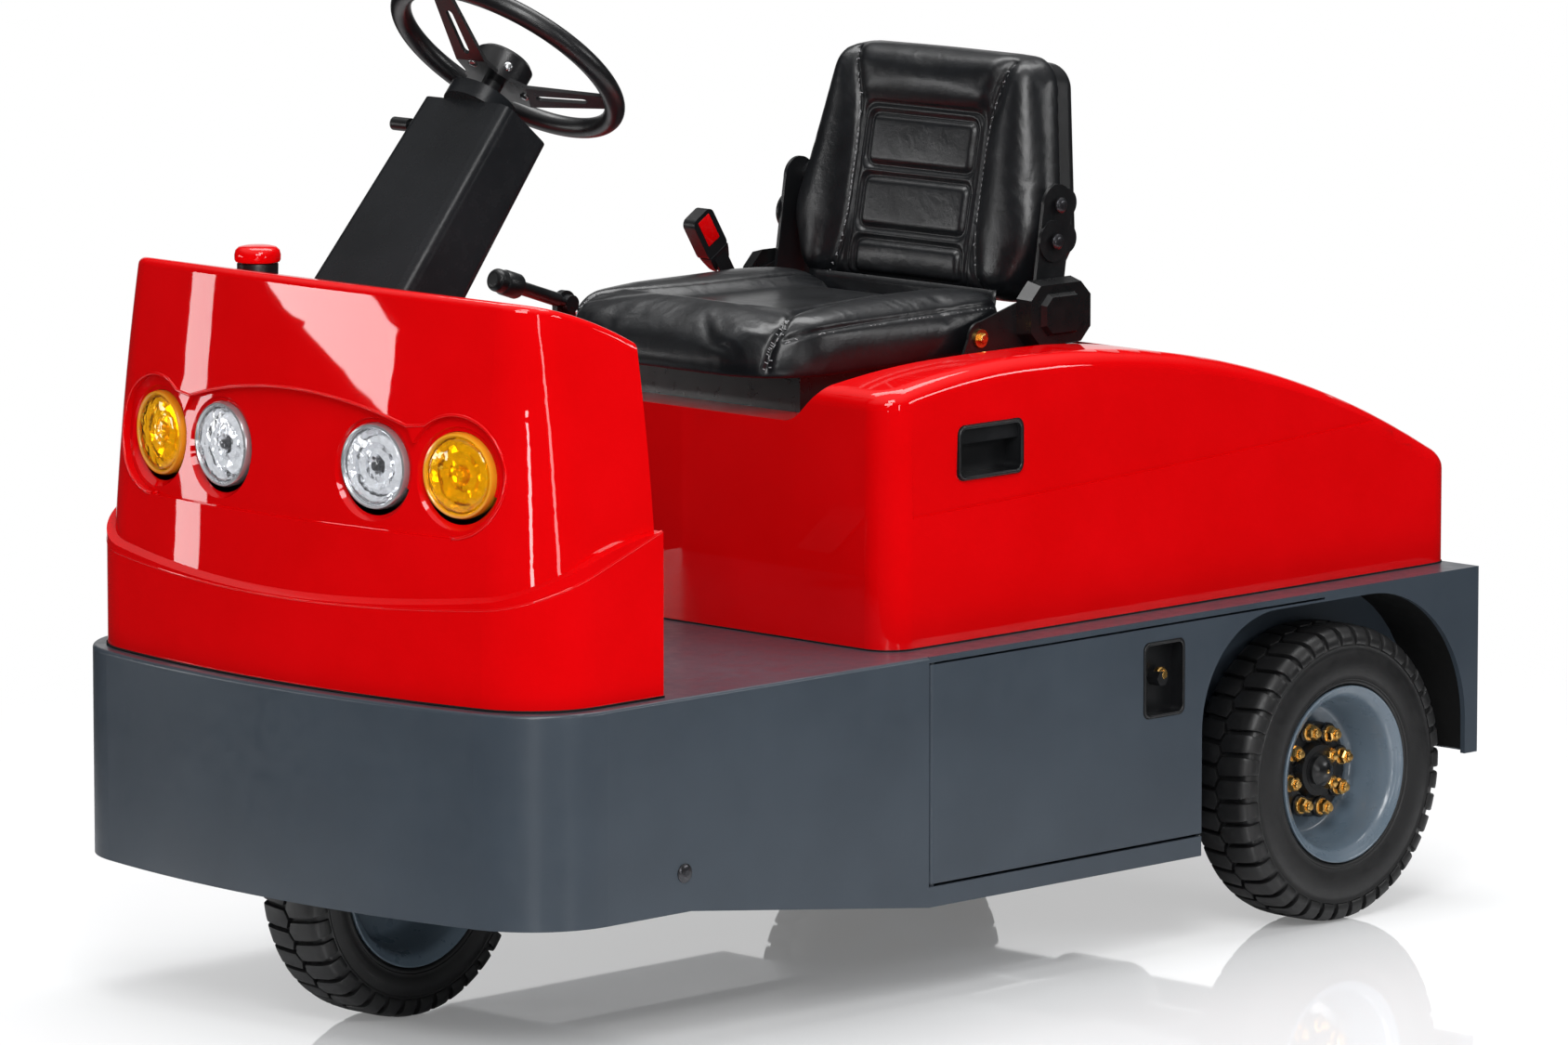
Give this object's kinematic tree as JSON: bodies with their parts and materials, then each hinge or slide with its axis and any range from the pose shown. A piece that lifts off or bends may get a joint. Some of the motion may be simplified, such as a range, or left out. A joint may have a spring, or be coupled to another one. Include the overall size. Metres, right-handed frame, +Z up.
{
  "type": "electric tow tractor",
  "caption": "Seated electric tow tractor with a steered front wheel, two driven rear wheels, a lifting hood with the seat, and a stepped pin coupling.",
  "frame": {"origin": "on the floor under the centre of the bounding box", "axes": "+X forward along the length, +Y to the driver's left, +Z up"},
  "size_m": [1.9399, 0.9402, 1.3513],
  "materials": {
    "frame_grey": "satin",
    "body_red": "gloss",
    "tyre": "matt",
    "rim": "satin",
    "black_metal": "satin",
    "black_plastic": "satin",
    "steering_rim": "satin",
    "lamp_clear": "gloss",
    "lamp_amber": "gloss",
    "lamp_red": "gloss",
    "stop_red": "gloss",
    "seat_leather": "semi-gloss",
    "pin_steel": "satin"
  },
  "bodies": {
    "chassis": {"battery": "black_plastic", "brake_pedal": "black_plastic", "column": "black_plastic", "cowl": "body_red", "dash_panel": "black_plastic", "direction_lever": "black_plastic", "drive_axle": "black_metal", "front_frame": "frame_grey", "lamp_amber_left": "lamp_amber", "lamp_amber_right": "lamp_amber", "lamp_white_left": "lamp_clear", "lamp_white_right": "lamp_clear", "main_frame": "frame_grey", "side_frame_left": "frame_grey", "side_frame_right": "frame_grey", "stop_button": "stop_red", "tail_lamp_left": "lamp_red", "tail_lamp_right": "lamp_red", "throttle_pedal": "black_plastic", "tow_coupling": "black_metal"},
    "door_left": {"door_left": "frame_grey", "latch_left": "black_plastic"},
    "door_right": {"door_right": "frame_grey", "latch_right": "black_plastic"},
    "fork": {"steer_fork": "black_metal"},
    "front_wheel": {"front_tyre": "tyre", "front_rim": "rim", "front_hub": "black_metal"},
    "rear_wheel_left": {"rear_tyre_left": "tyre", "rear_rim_left": "rim", "rear_hub_left": "black_metal"},
    "rear_wheel_right": {"rear_tyre_right": "tyre", "rear_rim_right": "rim", "rear_hub_right": "black_metal"},
    "steering_wheel": {"steering_wheel": "steering_rim"},
    "hood": {"hood": "body_red", "handle_left": "black_plastic", "handle_right": "black_plastic", "seat_base": "black_metal", "seat_cushion": "seat_leather", "buckle": "black_plastic"},
    "backrest": {"back_cushion": "seat_leather", "back_shell": "black_plastic"},
    "park_lever": {"park_lever": "black_plastic"},
    "coupling_pin": {"coupling_pin": "pin_steel"}
  },
  "joints": [
    {"name": "door_left_hinge", "type": "hinge", "parent": "chassis", "child": "door_left", "pos_m": [0.201, 0.447, 0.3], "axis": [0, 0, -1], "range_deg": [0, 100]},
    {"name": "door_right_hinge", "type": "hinge", "parent": "chassis", "child": "door_right", "pos_m": [0.201, -0.447, 0.3], "axis": [0, 0, 1], "range_deg": [0, 100]},
    {"name": "fork_steer", "type": "hinge", "parent": "chassis", "child": "fork", "pos_m": [0.751, 0, 0.19], "axis": [0, 0, 1], "range_deg": [-75, 75]},
    {"name": "front_wheel_spin", "type": "hinge", "parent": "fork", "child": "front_wheel", "pos_m": [0.751, 0, 0.19], "axis": [0, 1, 0], "continuous": true},
    {"name": "rear_wheel_left_spin", "type": "hinge", "parent": "chassis", "child": "rear_wheel_left", "pos_m": [-0.597, 0.47, 0.205], "axis": [0, 1, 0], "continuous": true},
    {"name": "rear_wheel_right_spin", "type": "hinge", "parent": "chassis", "child": "rear_wheel_right", "pos_m": [-0.597, -0.47, 0.205], "axis": [0, 1, 0], "continuous": true},
    {"name": "steering_wheel_turn", "type": "hinge", "parent": "chassis", "child": "steering_wheel", "pos_m": [0.535, 0, 1.237], "axis": [-0.6428, 0, 0.766], "range_deg": [-720, 720]},
    {"name": "hood_lid", "type": "hinge", "parent": "chassis", "child": "hood", "pos_m": [-0.906, 0, 0.468], "axis": [0, -1, 0], "range_deg": [0, 50]},
    {"name": "backrest_recline", "type": "hinge", "parent": "hood", "child": "backrest", "pos_m": [-0.233, 0, 0.855], "axis": [0, -1, 0], "range_deg": [-15, 25]},
    {"name": "park_lever_pull", "type": "hinge", "parent": "hood", "child": "park_lever", "pos_m": [0.102, -0.33, 0.845], "axis": [0, -1, 0], "range_deg": [0, 50]},
    {"name": "coupling_pin_lift", "type": "slide", "parent": "chassis", "child": "coupling_pin", "axis": [0, 0, 1], "range_m": [0, 0.12]}
  ],
  "couplings": [
    {"joint": "steering_wheel_turn", "follows": "fork_steer", "ratio": 9.6}
  ]
}
